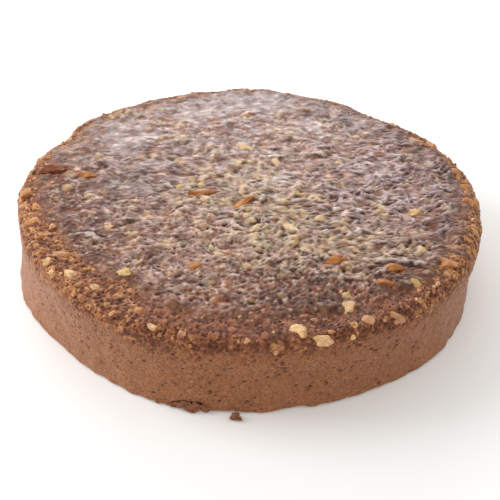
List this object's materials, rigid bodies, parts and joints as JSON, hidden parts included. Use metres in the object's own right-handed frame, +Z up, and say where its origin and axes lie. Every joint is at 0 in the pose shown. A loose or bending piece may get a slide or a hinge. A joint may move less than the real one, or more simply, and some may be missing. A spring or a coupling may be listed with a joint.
{
  "type": "walnut cake",
  "caption": "Uncut round walnut cake: low brown sponge with a smooth side, a rough rounded rim and a bumpy glazed top set with chopped walnuts.",
  "frame": {"origin": "centre of the cake's foot, on the surface it stands on", "axes": "+Z up through the top; -Y to the front, the side with the broken bit of the foot; +X to the right seen from the front"},
  "size_m": [0.2423, 0.2426, 0.0456],
  "materials": {
    "sponge": "matt, fine pored, baked"
  },
  "bodies": {
    "root": {"cake": "sponge"}
  },
  "joints": []
}
